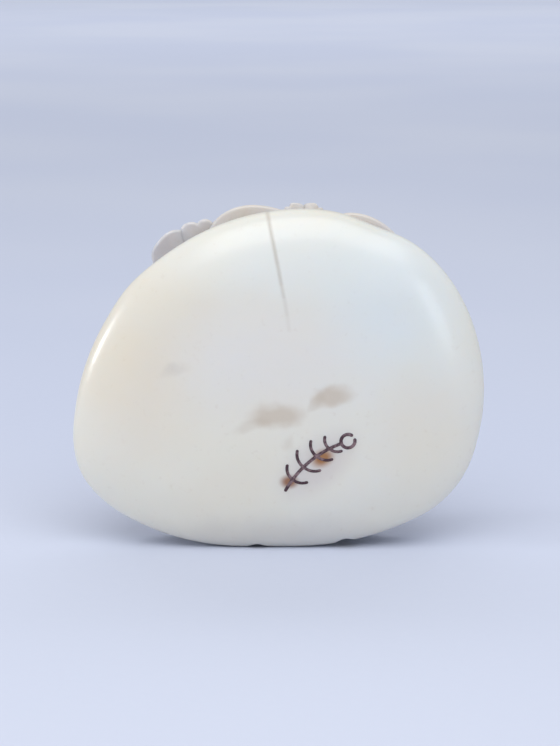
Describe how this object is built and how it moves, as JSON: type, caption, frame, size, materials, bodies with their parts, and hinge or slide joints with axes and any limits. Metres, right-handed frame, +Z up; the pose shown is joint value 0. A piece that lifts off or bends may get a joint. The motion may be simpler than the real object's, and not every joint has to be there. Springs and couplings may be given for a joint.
{
  "type": "toggle button",
  "caption": "Carved toggle button: a flat polished back slab pegged to a domed front with raised flowers and leaves, and a cord channel in its lower edge.",
  "frame": {"origin": "centre of the flat polished back face", "axes": "+X to the right and +Z up as the button stands on its lower edge, seen from the back; the back face looks along -Y and the carved front along +Y"},
  "size_m": [0.0424, 0.0157, 0.0359],
  "materials": {
    "polished_ivory": "polished, warm white, translucent",
    "carved_ivory": "carved, satin, darker in the hollows",
    "dowel_ivory": "turned, matt",
    "dark_horn": "polished dark horn",
    "mark_pigment": "dark pigment rubbed into the cut strokes"
  },
  "bodies": {
    "root": {"back_slab": "polished_ivory", "mark_infill": "mark_pigment", "front_block": "carved_ivory", "dowel_left": "dowel_ivory", "dowel_right": "dowel_ivory", "bloom_upper_left": "carved_ivory", "bloom_lower_right": "carved_ivory", "blossom_top": "carved_ivory", "bud_left": "carved_ivory", "bud_right": "carved_ivory", "stamens_upper_left": "dark_horn", "stamens_lower_right": "dark_horn", "stamens_top": "dark_horn", "leaf_top": "carved_ivory", "leaf_upper_right": "carved_ivory", "leaf_right": "carved_ivory", "leaf_lower_right": "carved_ivory", "leaf_bottom": "carved_ivory", "leaf_lower_left": "carved_ivory", "leaf_left": "carved_ivory", "leaf_inner_left": "carved_ivory", "leaf_inner_right": "carved_ivory", "stem_lower": "carved_ivory", "stem_upper": "carved_ivory", "stem_left": "carved_ivory"}
  },
  "joints": []
}
